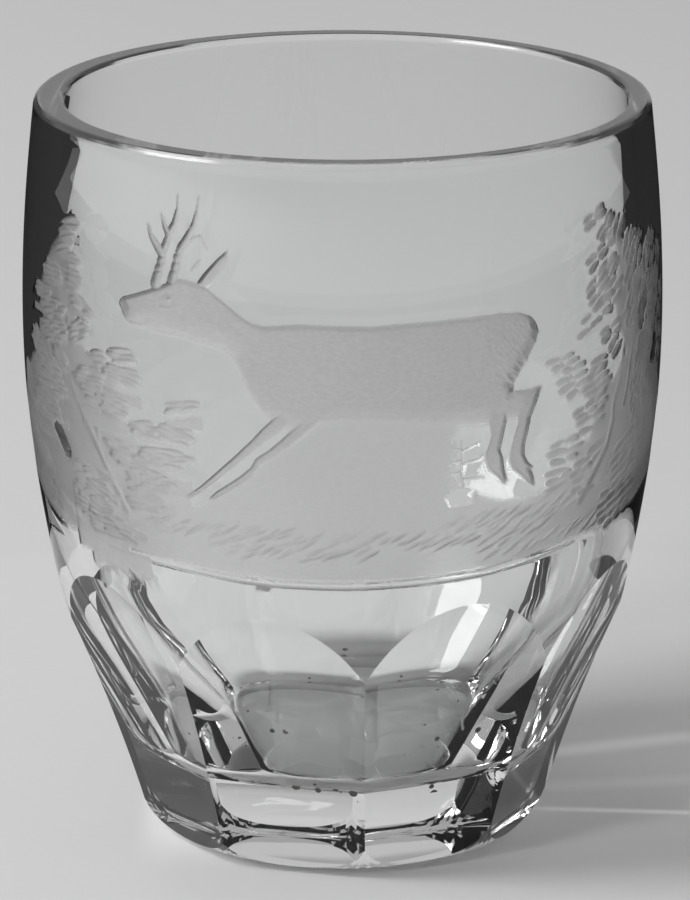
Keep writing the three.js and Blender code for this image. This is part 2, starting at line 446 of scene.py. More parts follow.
# two trees of clumps of leaves; -1 is the left tree, 1 the right
leaves = {
    "sizes": {-1: (2.7, 1.05, 0.60), 1: (2.5, 1.35, 1.0)},  # length, width, from row to row
    "depth": 0.17,
    "bowl": (0.075, 2.2, 3),  # depth of the hollow under a left clump, flat and lean of its wall
    "fieldShare": 0.5,  # of the field's depth that is added to a leaf's
    "trim": 0.3,  # mm off a clump's height for its rows
    "leastRow": 0.12,  # how short the end rows get
    "slide": 0.6,
    "reach": (1.0, 1.25),
    "tilt": 10,
    "wander": 0.1,
    "widths": (0.85, 1.2),
    "depths": (0.75, 1.15),
    "blunt": 2.4,  # roundness of a leaf's outline
    "wall": 0.24,  # share of the width taken by the steep upper side
    "slope": 1.4,
    "tipShare": 0.35,
    "footShare": (0.35, 1.3),  # depth left at the foot, and the run to full depth
    "trunks": {
        -1: [(-27.5, 46.0), (-32.0, 54.0), (-38.0, 63.5), (-38.5, 80.0)],
        1: [(31.5, 46.0), (37.0, 57.0), (39.5, 66.0), (39.0, 81.0)]},
    # (round, height, width, height of the clump, lean of the cuts in degrees)
    "clumps": [
        (-37.3, 79.3, 4.2, 1.8, 8), (-38.4, 77.5, 3.7, 2.1, 8), (-39.2, 75.7, 3.9, 2.0, 8),
        (-36.9, 75.0, 3.7, 2.1, 6), (-36.3, 72.6, 4.0, 3.0, -4), (-41.8, 72.5, 5.1, 3.4, 5),
        (-44.4, 69.9, 5.5, 2.1, 5), (-41.6, 68.6, 7.5, 2.3, 5), (-35.1, 70.0, 5.3, 2.6, -12),
        (-40.9, 66.0, 6.9, 3.7, 10), (-35.4, 66.8, 4.6, 3.1, 25), (-44.7, 62.8, 7.8, 3.5, -20),
        (-39.8, 62.8, 4.1, 3.4, -35), (-43.2, 59.7, 10.4, 3.8, -10), (-43.6, 56.5, 8.0, 3.4, -12),
        (-33.4, 61.8, 6.2, 3.2, 4), (-31.6, 64.5, 3.0, 2.2, 4), (-27.5, 65.6, 4.4, 2.1, 2),
        (-28.0, 63.2, 6.8, 2.4, -3), (-30.9, 60.1, 7.9, 2.7, -5), (-29.1, 59.0, 5.0, 3.2, -10),
        (-24.4, 57.2, 4.7, 2.4, 4), (-20.4, 57.3, 6.0, 2.4, -4), (-18.9, 60.9, 5.0, 1.7, 14),
        (-28.6, 54.4, 4.7, 2.0, -8), (-26.9, 53.0, 6.8, 2.5, -8), (-22.1, 54.2, 8.3, 2.9, 4),
        (-34.0, 50.1, 8.9, 2.6, -3), (-33.6, 47.8, 9.7, 2.9, -3), (-24.2, 51.1, 7.3, 3.0, 2),
        (-24.9, 48.5, 6.6, 3.0, 2), (-33.5, 45.3, 10.3, 2.9, -4), (-30.4, 43.8, 11.0, 2.6, -2),
        (34.0, 80.9, 5.0, 1.7, 22), (35.5, 79.1, 4.7, 1.9, 42), (38.4, 78.6, 3.5, 2.8, 62),
        (41.0, 75.9, 4.3, 3.7, 62), (34.9, 76.7, 7.5, 2.0, 30), (36.3, 74.6, 4.7, 2.0, 25),
        (34.6, 72.9, 7.6, 4.0, 34), (34.5, 69.8, 10.9, 2.8, 24), (37.1, 67.1, 8.1, 2.3, 14),
        (36.8, 64.8, 2.9, 2.6, 30), (41.9, 73.3, 6.9, 3.7, 58), (42.5, 69.9, 7.9, 3.8, 55),
        (46.9, 72.8, 7.9, 4.9, 60), (48.6, 68.4, 8.4, 4.3, 62), (47.0, 65.0, 14.0, 4.9, 62),
        (27.6, 64.8, 5.1, 2.0, 8), (29.6, 62.2, 5.4, 4.3, 8), (33.3, 63.4, 3.4, 1.7, 12),
        (33.6, 61.0, 5.5, 4.1, 18), (32.7, 58.5, 7.1, 2.2, 14), (32.4, 56.7, 6.1, 2.7, 14),
        (28.8, 54.1, 6.1, 3.4, 4), (34.1, 52.9, 3.7, 2.8, 14), (27.4, 50.8, 4.4, 3.1, 10),
        (31.7, 50.0, 4.6, 5.4, 12), (44.7, 60.6, 12.5, 6.0, 66), (45.6, 55.2, 10.0, 6.2, 58),
        (41.9, 50.4, 9.3, 6.7, 22), (40.0, 45.4, 9.8, 5.7, 14), (51.2, 71.5, 6.0, 3.4, 62),
        (52.2, 66.0, 8.0, 3.4, 66), (52.0, 60.5, 8.0, 3.6, 66), (-50.5, 57.2, 7.0, 4.2, -32),
        (-50.5, 52.0, 7.5, 4.2, -35), (-46.5, 49.0, 7.5, 4.4, -28), (-46.0, 44.6, 9.0, 3.8, -24)],
    # trunks and the small plant under the belly: points, width at the start and the end, depth
    "stems": [
        ([(-39.2, 66.3), (-38.3, 64.1), (-37.1, 60.8), (-34.8, 57.4), (-32.6, 54.5), (-30.6, 51.3),
          (-28.0, 46.9)], 0.60, 1.50, 0.17),
        ([(-31.7, 59.1), (-32.0, 56.5), (-32.1, 53.7)], 0.40, 0.70, 0.15),
        ([(-35.8, 60.4), (-34.4, 57.8), (-33.4, 55.8)], 0.35, 0.70, 0.14),
        ([(39.5, 66.0), (39.0, 64.0), (38.3, 60.5), (37.1, 58.4), (37.1, 55.9), (36.2, 53.1), (33.1, 49.3),
          (31.7, 47.3)], 0.60, 1.60, 0.18),
        ([(41.6, 64.8), (40.9, 62.3), (40.3, 59.4), (39.6, 57.2)], 0.40, 0.80, 0.18),
        ([(13.8, 57.6), (13.9, 55.3), (13.9, 53.5), (14.3, 52.0)], 0.20, 0.34, 0.10)],
    "leaflets": [
        [(13.8, 56.6), (11.6, 57.0)], [(13.8, 55.2), (11.3, 55.1)], [(13.8, 53.9), (11.7, 53.6)],
        [(13.9, 56.4), (16.2, 57.2)], [(14.0, 54.8), (16.4, 55.3)], [(14.2, 53.0), (16.9, 52.9)]],
    "leafletSize": (0.30, 0.16, 0.09),
}

# the ground under the trees: a shallow matt field, grass strokes on it and the level line below it
ground = {
    "field": [
        (-33.0, 41.6), (-25.0, 41.0), (-16.5, 40.6), (-8.8, 40.2), (0.9, 40.1), (10.7, 40.3), (18.6, 40.7),
        (26.7, 41.5), (36.0, 42.4), (46.0, 43.0), (54.0, 44.6), (61.5, 48.2), (57.0, 54.0), (52.0, 59.5),
        (46.5, 61.5), (43.8, 66.0), (42.6, 72.0), (41.8, 75.8), (38.8, 78.2), (37.0, 79.8), (36.8, 77.8),
        (37.4, 74.2), (36.4, 70.6), (36.8, 67.6), (39.0, 64.0), (36.6, 61.6), (34.0, 62.8), (30.8, 62.4),
        (30.4, 60.6), (32.6, 57.9), (32.0, 55.3), (28.8, 54.0), (29.4, 51.8), (26.5, 50.7), (22.8, 50.0),
        (19.0, 50.4), (16.6, 51.4), (14.4, 52.6), (13.2, 54.2), (13.8, 56.2), (13.4, 58.0), (14.8, 60.5),
        (8.0, 61.5), (-3.0, 61.5), (-5.0, 59.0), (-8.6, 56.6), (-11.5, 54.2), (-14.5, 51.6), (-18.0, 49.8),
        (-18.9, 51.5), (-20.8, 53.5), (-22.8, 55.6), (-25.5, 56.5), (-27.5, 58.5), (-28.2, 60.5),
        (-27.0, 62.8), (-27.6, 64.4), (-32.6, 64.8), (-35.4, 67.5), (-34.6, 70.6), (-36.2, 73.0),
        (-36.4, 75.2), (-37.2, 77.4), (-37.6, 79.2), (-39.4, 79.4), (-40.6, 77.6), (-42.6, 75.6),
        (-44.6, 72.6), (-45.6, 69.8), (-44.6, 66.6), (-46.5, 63.0), (-53.0, 58.5), (-57.5, 53.5),
        (-62.0, 48.4), (-56.0, 44.4), (-50.0, 42.4), (-42.0, 41.0)],
    # left clear: a gap in the left thicket and a glint under the hind legs
    "windows": [
        [(-42.4, 54.0), (-41.4, 55.2), (-39.8, 54.8), (-37.8, 52.2), (-38.1, 50.8), (-39.6, 50.9)],
        [(11.8, 50.9), (13.2, 52.0), (16.0, 51.6), (15.7, 49.6), (12.6, 49.3)]],
    "windowEdge": 0.3,
    "fieldDepth": 0.06,
    "fieldEdge": 1.6,
    "lines": [
        ([(-32.3, 41.7), (-25.1, 41.1), (-16.5, 40.6), (-8.8, 40.2), (0.9, 40.1), (10.7, 40.3), (18.6, 40.7),
          (26.7, 41.6), (31.5, 42.2)], 0.30, 0.26, 0.12),
        ([(-17.8, 41.4), (-10.0, 40.95), (0.3, 40.8), (10.6, 41.1), (17.1, 41.4), (21.5, 42.0)],
         0.16, 0.22, 0.09)],
    # start, end, height and spacing of each row of blades
    "grassRows": [
        (-24.0, -5.0, 46.4, 0.65), (-16.0, 4.0, 44.4, 0.9), (-8.0, 12.0, 46.2, 1.3),
        (9.0, 27.0, 45.6, 0.75), (13.0, 33.0, 47.6, 0.75), (18.0, 36.0, 43.8, 1.0)],
    "grassLean": (27, 8),  # degrees, and how far a blade may stray from them
    "grassLength": (2.9, 0.6, 1.1),  # mm, and the shares of it that are drawn
    "grassStray": (0.4, 0.7),  # mm round and up
    "grassWidth": 0.40,
    "grassDepth": (0.10, 0.6, 1.2),
}

chance = np.random.default_rng(11)


def wayAt(degrees):
    return np.array([math.cos(math.radians(degrees)), math.sin(math.radians(degrees))])


def leafCuts():
    # every clump is a stack of overlapping leaves; each is (foot, tip, half width, depth)
    cuts = []
    for s, z, width, height, lean in leaves["clumps"]:
        tree = -1 if s < 0 else 1
        along = wayAt(lean)
        across = np.array([-along[1], along[0]])
        stem = leaves["trunks"][tree]
        length, wide, pitch = leaves["sizes"][tree]
        outward = 1 if s > np.interp(z, [p[1] for p in stem], [p[0] for p in stem]) else -1
        tall = height - leaves["trim"]
        rows = max(2, round(tall / pitch))
        for k in range(rows):
            off = ((k + 0.5) / rows - 0.5) * tall
            half = width / 2 * math.sqrt(max(leaves["leastRow"], 1 - (off / (height / 2)) ** 2))
            number = max(1, round(2 * half / length))
            slide = chance.uniform(-leaves["slide"], leaves["slide"])
            for j in range(number):
                middle = ((j + 0.5) / number - 0.5) * 2 * half + slide
                reach = half / number * chance.uniform(*leaves["reach"])
                tilt = wayAt(chance.uniform(-leaves["tilt"], leaves["tilt"]))
                side = outward if number == 1 else (1 if middle > 0 else -1)
                way = (along * tilt[0] + across * tilt[1]) * side
                wander = chance.uniform(-leaves["wander"], leaves["wander"])
                centre = np.array([s, z]) + along * middle + across * (off + wander)
                cuts.append((centre - way * reach, centre + way * reach,
                             wide / 2 * chance.uniform(*leaves["widths"]),
                             leaves["depth"] * chance.uniform(*leaves["depths"])))
    return cuts


def furCuts():
    cuts = []
    out, outHeight, bend, fall = fur["edge"]
    for k in range(fur["count"]):
        s, z = chance.uniform(*fur["round"]), chance.uniform(*fur["height"])
        edge = out - bend * (z - outHeight) ** 2 - (fall * (outHeight - z) if z < outHeight else 0)
        centre = np.array([min(s, edge), z])
        way = wayAt(chance.uniform(*fur["lean"])) * chance.uniform(*fur["halfLength"])
        cuts.append((centre - way, centre + way, fur["halfWidth"], fur["depth"]))
    return cuts


def grassCuts():
    cuts = []
    lean, leanStray = ground["grassLean"]
    length, shortest, longest = ground["grassLength"]
    strayRound, strayUp = ground["grassStray"]
    wide, (deep, least, most) = ground["grassWidth"], ground["grassDepth"]
    for start, end, height, step in ground["grassRows"]:
        for s in np.arange(start, end, step):
            way = wayAt(lean + chance.uniform(-leanStray, leanStray)) * length / 2
            way = way * chance.uniform(shortest, longest)
            stray = chance.uniform(-strayRound, strayRound), chance.uniform(-strayUp, strayUp)
            centre = np.array([s, height]) + stray
            cuts.append((centre - way, centre + way, wide / 2, deep * chance.uniform(least, most)))
    return cuts


cutLists = {"leaves": leafCuts(), "grass": grassCuts(), "fur": furCuts()}


def nearCut(at, start, end):
    # distance from points to a straight cut, and how far along it they are
    way = end - start
    t = np.clip(((at - start) @ way) / (way @ way), 0, 1)
    return np.linalg.norm(at - start - t[:, None] * way, axis=1), t


def boxAround(at, start, end, reach):
    low, high = np.minimum(start, end) - reach, np.maximum(start, end) + reach
    return np.flatnonzero(
        (at[:, 0] > low[0]) & (at[:, 0] < high[0]) & (at[:, 1] > low[1]) & (at[:, 1] < high[1]))


def addCuts(at, depth, cuts):
    # olive cuts: deepest in the middle, narrower to both ends
    for start, end, half, deep in cuts:
        near = boxAround(at, start, end, half)
        if len(near):
            away, t = nearCut(at[near], start, end)
            slim = 1 - engraving["pointed"] * (2 * t - 1) ** 2
            found = deep * slim * (1 - (away / (half * slim)) ** 2)
            depth[near] = np.maximum(depth[near], found)


def addLeaves(at, depth, cuts):
    # pointed ovals with a steep upper side and tip, running out towards the lower side and the foot
    wall = leaves["wall"]
    footLeft, footRun = leaves["footShare"]
    for foot, tip, half, deep in cuts:
        near = boxAround(at, foot, tip, half)
        if not len(near):
            continue
        middle, way = (foot + tip) / 2, (tip - foot) / 2
        reach = np.linalg.norm(way)
        way = way / reach
        up = np.array([-way[1], way[0]]) * (1 if way[0] > 0 else -1)
        along = (at[near] - middle) @ way / reach
        across = (at[near] - middle) @ up / half
        slim = np.sqrt(np.clip(1 - np.abs(along) ** leaves["blunt"], 0, 1))
        inside = (np.abs(along) < 1) & (np.abs(across) < slim)
        t = np.where(inside, (across + slim) / (2 * slim + 1e-9), 0)
        rise = np.where(t < 1 - wall, (t / (1 - wall)) ** leaves["slope"], (1 - t) / wall)
        rise = rise * np.clip((1 - along) / leaves["tipShare"], 0, 1)
        rise = rise * (footLeft + (1 - footLeft) * np.clip((along + 1) / footRun, 0, 1))
        depth[near] = np.maximum(depth[near], deep * rise)


def addStroke(at, depth, stroke, onTop=False):
    points, wide, narrow, deep = stroke
    points = [np.array(p, float) for p in points]
    steps = [np.linalg.norm(b - a) for a, b in zip(points, points[1:])]
    total, gone = sum(steps), 0.0
    best = np.zeros(len(at))
    for a, b, step in zip(points, points[1:], steps):
        near = boxAround(at, a, b, wide)
        if len(near):
            away, t = nearCut(at[near], a, b)
            half = (wide + (narrow - wide) * (gone + t * step) / total) / 2
            found = np.clip(1 - (away / half) ** 2, 0, 1) * half / (max(wide, narrow) / 2)
            best[near] = np.maximum(best[near], found)
        gone += step
    if onTop:
        depth += deep * best * (depth > 0)
    else:
        np.maximum(depth, deep * best, out=depth)


def sides(outline):
    return zip(outline, outline[1:] + outline[:1])


def insideOutline(at, outline):
    hit = np.zeros(len(at), bool)
    for a, b in sides(outline):
        spans = (a[1] > at[:, 1]) != (b[1] > at[:, 1])
        if a[1] != b[1]:
            cross = a[0] + (at[:, 1] - a[1]) * (b[0] - a[0]) / (b[1] - a[1])
            hit ^= spans & (at[:, 0] < cross)
    return hit


def outlineDepth(at, outline, deep, edgeTop, edgeLow):
    # a hollow with a steep wall where its edge faces up or sideways and a long slope where it faces down
    outline = [np.array(p, float) for p in outline]
    low, high = np.min(outline, axis=0), np.max(outline, axis=0)
    found = np.zeros(len(at))
    near = np.flatnonzero((at > low).all(1) & (at < high).all(1))
    near = near[insideOutline(at[near], outline)] if len(near) else near
    if not len(near):
        return found
    turning = sum(a[0] * b[1] - a[1] * b[0] for a, b in sides(outline))
    rise = np.ones(len(near))
    for a, b in sides(outline):
        way = (b - a) / np.linalg.norm(b - a)
        outward = np.array([way[1], -way[0]]) * (1 if turning > 0 else -1)
        faces = 0.5 + 0.5 * (engraving["steepSide"] * abs(outward[0]) + engraving["steepTop"] * outward[1])
        steep = min(1.0, max(0.0, faces))
        away, _ = nearCut(at[near], a, b)
        share = np.clip(away / (edgeLow + (edgeTop - edgeLow) * steep), 0, 1)
        rise = np.minimum(rise, steep * share * (2 - share) + (1 - steep) * share * share * (3 - 2 * share))
    found[near] = deep * rise
    return found


def leaning(at, middle, long, high, lean):
    # points measured from a middle, along and across a leaning way, in shares of two lengths
    c, d = wayAt(lean)
    away = at - middle
    return (away[:, 0] * c + away[:, 1] * d) / long, (away[:, 1] * c - away[:, 0] * d) / high


def groundDepth(at):
    depth = outlineDepth(at, ground["field"], ground["fieldDepth"], ground["fieldEdge"], ground["fieldEdge"])
    for line in ground["lines"]:
        addStroke(at, depth, line)
    grass = np.zeros(len(at))
    addCuts(at, grass, cutLists["grass"])
    return depth + grass


def foliageDepth(at):
    # the left tree's clumps are hollowed a little as a whole, and the leaves are cut on top
    foliage = np.zeros(len(at))
    deep, flat, lift = leaves["bowl"]
    for s, z, width, height, lean in leaves["clumps"]:
        middle = np.array([s, z])
        near = boxAround(at, middle, middle, width / 2)
        if s < 0 and len(near):
            a, b = leaning(at[near], middle, width, height, lean)
            bowl = np.clip((1 - 4 * (a * a + b * b)) * (flat + lift * b), 0, 1)
            foliage[near] = np.maximum(foliage[near], deep * bowl)
    cuts = np.zeros(len(at))
    addLeaves(at, cuts, cutLists["leaves"])
    return foliage + cuts


def roebuckDepth(at):
    body = outlineDepth(at, roebuck["outline"], roebuck["depth"], roebuck["edgeTop"], roebuck["edgeLow"])
    for middle, long, high, lean, more in roebuck["muscles"]:
        a, b = leaning(at, middle, long, high, lean)
        body += more * np.exp(-(a * a + b * b)) * np.clip(body / roebuck["depth"], 0, 1)
    for limb in roebuck["limbs"]:
        np.maximum(body, outlineDepth(at, limb, *roebuck["limbDepth"]), out=body)
    for stroke in roebuck["strokes"]:
        addStroke(at, body, stroke)
    pearls = [(points, wide, *roebuck["pearlEnd"]) for points, wide in roebuck["pearls"]]
    for stroke in roebuck["features"] + pearls:
        addStroke(at, body, stroke, onTop=True)
    hairs = np.zeros(len(at))
    addCuts(at, hairs, cutLists["fur"])
    return body + hairs * (body > fur["onDepth"])


def engravedDepth(at):
    # how deep the wheel went in at points (round, height)
    depth = groundDepth(at)
    depth = np.maximum(depth, foliageDepth(at) + leaves["fieldShare"] * depth)
    for stem in leaves["stems"] + [(points, *leaves["leafletSize"]) for points in leaves["leaflets"]]:
        addStroke(at, depth, stem)
    for window in ground["windows"]:
        depth *= 1 - outlineDepth(at, window, 1, ground["windowEdge"], ground["windowEdge"])
    return np.maximum(depth, roebuckDepth(at))


def depthOnWall(at):
    # the points as (round, height), which of them are on the outside above the panels, and the depth there
    girth, z = np.hypot(at[:, 0], at[:, 1]), at[:, 2]
    design = np.stack([np.arctan2(at[:, 0], -at[:, 1]) * engraving["girth"], z], 1)
    outside = (z > engraving["lowest"]) & (z < rimEdgeHeight - engraving["rimGap"])
    outside &= girth > barrelRadius(z) - engraving["skin"]
    depth = np.zeros(len(at))
    depth[outside] = engravedDepth(design[outside])
    return design, outside, depth


def facesToHalve(mesh, allowed):
    # the four-sided faces on the engraved wall that miss the depth of the cuts by more than is allowed
    design, outside, depth = depthOnWall(readMesh(mesh.vertices, "co", 3) / mm)
    corners = readMesh(mesh.loops, "vertex_index", kind=int)
    starts = readMesh(mesh.polygons, "loop_start", kind=int)
    quads = np.flatnonzero(readMesh(mesh.polygons, "loop_total", kind=int) == 4)
    ring = corners[starts[quads][:, None] + np.arange(4)]
    kept = outside[ring].all(1) & (np.ptp(design[ring][:, :, 0], axis=1) < engraving["seam"])
    quads, ring = quads[kept], ring[kept]
    missed = np.zeros(len(quads))
    spots = np.linspace(0, 1, engraving["tests"])
    for p in spots:
        for q in spots:
            share = np.array([(1 - p) * (1 - q), p * (1 - q), p * q, (1 - p) * q])
            inner = np.einsum("k,nkj->nj", share, design[ring])
            missed = np.maximum(missed, np.abs(engravedDepth(inner) - depth[ring] @ share))
    picked = np.zeros(len(mesh.polygons), bool)
    picked[quads[missed > allowed]] = True
    return picked


def markSurface(mesh, name, values):
    mesh.attributes.new(name, "FLOAT", "POINT").data.foreach_set("value", values)


def engraveGlass(piece):
    # faces under the design are halved again and again, then pressed in by the depth of the cuts
    selectOnly(piece)
    mesh = piece.data
    for allowed in engraving["allowed"]:
        picked = facesToHalve(mesh, allowed)
        editPicked(mesh, "FACE", picked)
        bpy.ops.mesh.subdivide(number_cuts=1)
        bpy.ops.mesh.select_mode(type="VERT")
        editMode(False)
        print("engraving halved", picked.sum(), "faces")
    at = readMesh(mesh.vertices, "co", 3) / mm
    design, outside, depth = depthOnWall(at)
    swell = np.ones(len(at))
    swell[outside] = (barrelRadius(at[outside, 2]) - depth[outside]) / np.hypot(at[outside, 0], at[outside, 1])
    at[:, :2] *= swell[:, None]
    mesh.vertices.foreach_set("co", (at * mm).ravel())
    onTheRim = at[:, 2] > barrel["height"] - engraving["rimBand"]
    shallow, full = engraving["shallow"]
    deeper, start, more = engraving["deeper"]
    matt = shallow * np.clip(depth / full, 0, 1) + deeper * np.clip((depth - start) / more, 0, 1)
    markSurface(mesh, "matt", np.where(onTheRim, engraving["rimMatt"], matt))
    # how steeply the cut falls away below; by this fall the upper walls of the cuts get painted shade, darkened
    # in the colour
    step = engraving["paintedShadeStep"]
    down = (engraving["paintedShadeLean"] * step, -step)
    steep = np.zeros(len(at))
    steep[outside] = (engravedDepth(design[outside] + down) - engravedDepth(design[outside] - down)) / (2 * step)
    start, more = engraving["paintedShadeFall"]
    markSurface(mesh, "paintedWallShade", np.clip((steep - start) / more, 0, 1))
    mesh.update()
    print("glass engraved:", len(at), "vertices,", sum(len(p.vertices) - 2 for p in mesh.polygons), "triangles")


def finishGlass(piece):
    selectOnly(piece)
    editMode()
    bpy.ops.mesh.select_all(action="SELECT")
    bpy.ops.mesh.normals_make_consistent(inside=False)
    editMode(False)
    bpy.ops.object.shade_smooth_by_angle(angle=math.radians(grid["smoothUnder"]))
    # the wheel leaves no hard arris in its cuts
    mesh = piece.data
    height = readMesh(mesh.vertices, "co", 3)[readMesh(mesh.edges, "vertices", 2, int), 2] / mm
    cut = ((height > engraving["lowest"]) & (height < rimEdgeHeight - engraving["rimGap"])).all(1)
    marks = mesh.attributes["sharp_edge"].data
    marks.foreach_set("value", readMesh(marks, "value", kind=bool) & ~cut)
    print("glass smoothed")


# clear where it is polished, matt where it is cut, with painted shade on the upper walls of the cuts, and with
# dried specks on the inner floor
glassFinish = {
    "clear": (0.98, 0.985, 0.985, 1),
    "index": 1.5,
    "frosting": (0.15, 0.6, 0.0, 0.38),  # matt from and to, and the roughness there
    "veil": (0.15, 0.9, 1.0, 0.8),  # matt from and to, and the share of light let through there
    "grainScale": (900, 900, 2100),  # fine streaks of the wheel, closer together up the glass
    "grainSize": 1.6,
    "grainDetail": 4,
    "grain": [(0.34, (0.565, 0.565, 0.56, 1)), (0.66, (0.645, 0.645, 0.64, 1))],
    # the colour of the painted shade on the upper walls of the cuts
    "paintedWallShade": (0.43, 0.43, 0.42, 1),
    "speck": (0.06, 0.055, 0.05, 1),
    "speckCells": 440,
    "speckSize": 0.26,
    "speckFrom": 0.45,  # of all cells, those that draw more than this hold a speck
    "speckHeights": (0.0107, 0.0123),  # metres
    "speckRadius": 0.0158,  # and clear of the floor's middle
}


def newMaterial(name):
    material = bpy.data.materials.new(name)
    material.use_nodes = True
    return material, material.node_tree, material.node_tree.nodes["Principled BSDF"]


def addNode(tree, kind, inputs=None, **settings):
    # every input is given a value, or the output that feeds it
    node = tree.nodes.new("ShaderNode" + kind)
    for name, value in settings.items():
        setattr(node, name, value)
    for name, value in (inputs or {}).items():
        if isinstance(value, bpy.types.NodeSocket):
            tree.links.new(value, node.inputs[name])
        else:
            node.inputs[name].default_value = value
    return node


def calculate(tree, operation, *values):
    return addNode(tree, "Math", dict(enumerate(values)), operation=operation).outputs["Value"]


def mixColours(tree, share, first, second):
    return addNode(tree, "Mix", {0: share, 6: first, 7: second}, data_type="RGBA").outputs[2]


def mapRange(tree, value, fromLow, fromHigh, toLow=0.0, toHigh=1.0, smooth=False):
    inputs = {"Value": value, "From Min": fromLow, "From Max": fromHigh, "To Min": toLow, "To Max": toHigh}
    kind = "SMOOTHSTEP" if smooth else "LINEAR"
    return addNode(tree, "MapRange", inputs, interpolation_type=kind).outputs["Result"]


def colourRamp(tree, value, stops):
    node = addNode(tree, "ValToRGB", {"Fac": value})
    for spot, (place, colour) in enumerate(stops):
        if spot > 1:
            node.color_ramp.elements.new(place)
        node.color_ramp.elements[spot].position = place
        node.color_ramp.elements[spot].color = colour
    return node.outputs["Color"]


def surfaceMark(tree, name):
    return addNode(tree, "Attribute", attribute_name=name).outputs["Fac"]


def clearGlassMaterial():
    finish = glassFinish
    material, tree, shader = newMaterial("clearGlass")
    shader.inputs["Base Color"].default_value = finish["clear"]
    shader.inputs["IOR"].default_value = finish["index"]
    place = addNode(tree, "TexCoord").outputs["Object"]
    cut = surfaceMark(tree, "matt")
    drawn = addNode(tree, "Mapping", {"Vector": place, "Scale": finish["grainScale"]})
    grain = addNode(tree, "TexNoise", {
        "Vector": drawn.outputs["Vector"], "Scale": finish["grainSize"], "Detail": finish["grainDetail"]})
    matt = mixColours(tree, cut, finish["clear"], colourRamp(tree, grain.outputs["Fac"], finish["grain"]))
    # painted shade: the upper walls of the cuts are darkened in the colour
    colour = mixColours(tree, surfaceMark(tree, "paintedWallShade"), matt, finish["paintedWallShade"])
    # a speck sits in a picked cell, near its middle, and only round the edge of the inner floor
    cells = addNode(tree, "TexVoronoi", {"Vector": place, "Scale": finish["speckCells"]})
    picks = addNode(tree, "SeparateColor", {"Color": cells.outputs["Color"]})
    height = addNode(tree, "SeparateXYZ", {"Vector": place}).outputs["Z"]
    away = addNode(tree, "VectorMath", {0: place}, operation="LENGTH").outputs["Value"]
    low, high = finish["speckHeights"]
    size = calculate(tree, "MULTIPLY", picks.outputs["Green"], finish["speckSize"])
    speck = calculate(tree, "LESS_THAN", cells.outputs["Distance"], size)
    for value, operation, limit in [
            (picks.outputs["Red"], "GREATER_THAN", finish["speckFrom"]), (height, "LESS_THAN", high),
            (height, "GREATER_THAN", low), (away, "GREATER_THAN", finish["speckRadius"])]:
        speck = calculate(tree, "MULTIPLY", speck, calculate(tree, operation, value, limit))
    # the matt cuts scatter part of the light, so they stay pale over a dark ground; specks let none through
    through = addNode(tree, "Mix", {0: speck, 2: mapRange(tree, cut, *finish["veil"]), 3: 0.0})
    tree.links.new(mixColours(tree, speck, colour, finish["speck"]), shader.inputs["Base Color"])
    tree.links.new(mapRange(tree, cut, *finish["frosting"]), shader.inputs["Roughness"])
    tree.links.new(through.outputs[0], shader.inputs["Transmission Weight"])
    return material


# the photographer's table, lamps and camera
studio = {
    "floorGrey": 0.65,
    "floorRoughness": 0.7,
    "floorGloss": 0.25,
    "roomGreys": [(0.0, 0.60), (0.35, 0.525882), (0.35, 0.36)],  # share of the way up, grey
    "lampAim": 0.04,  # metres above the table
    "lamps": {  # watts, width, height, way round from the left towards the lens, way up, distance,
        "keyLamp": (17.5, 0.62, 0.80, 15, 40, 1.6, True),  # and whether the glass shows it
        "backLamp": (1.5, 0.34, 0.34, -50, 57, 1.6, True),
        "sideLamp": (8, 0.36, 0.36, 44, 26, 1.8, False)},  # only deepens the shadow
    "near": 1e-5,  # metres within which two places are one
    "floorSize": 8,
    "floorGap": 0.08,  # mm of air under the foot
    "shadeGap": 0.03,
    "shadeRadii": (19.8, 60),  # mm: a painted shadow, a dim sheet on the floor close behind the foot, which shows through the glass
    "shadeMiddle": (2, 25),
    "shadeFade": (20, 31),
    "shade": 0.62,
    "paintedCaustics": [  # painted light: streaks and a broad bright patch round the foot that stand for the light the glass throws on the paper, painted into its colour: x, y in mm, way in degrees, half width, gain
        (21, 1.0, -4.5, 1.3, 0.30), (22, 20.0, 18.5, 3.6, 0.17), (20, 8, 8, 3.4, 0.08), (-26, 0, 0, 22, 0.34)],
    "paintedCausticRun": (6, 15, 70),  # mm along it: full from here, until here, and gone by here
    "floorEdge": {  # mm beside and behind the glass: where the pale paper ends and the dark table shows
        -1: [(66, 92), (168, 298), (143, 445), (900, 445), (900, 290), (370, 290), (82, 95)],
        1: [(66, 92), (125, 297), (175, 445), (900, 445), (900, 290), (370, 290), (82, 95)]},
    "flagHeight": 240,
    "ringRadii": (115, 520),  # mm
    "shadeGrey": 0.02,
    "darkGrey": 0.03,
    "darkRoughness": 0.9,
    "lens": (220, 36),  # mm of focal length and sensor
    "lensDistance": 0.6621,
    "cameraPitch": 16.4,
    "aimHeight": 0.04606,
    "aimSide": 0.0003,
}


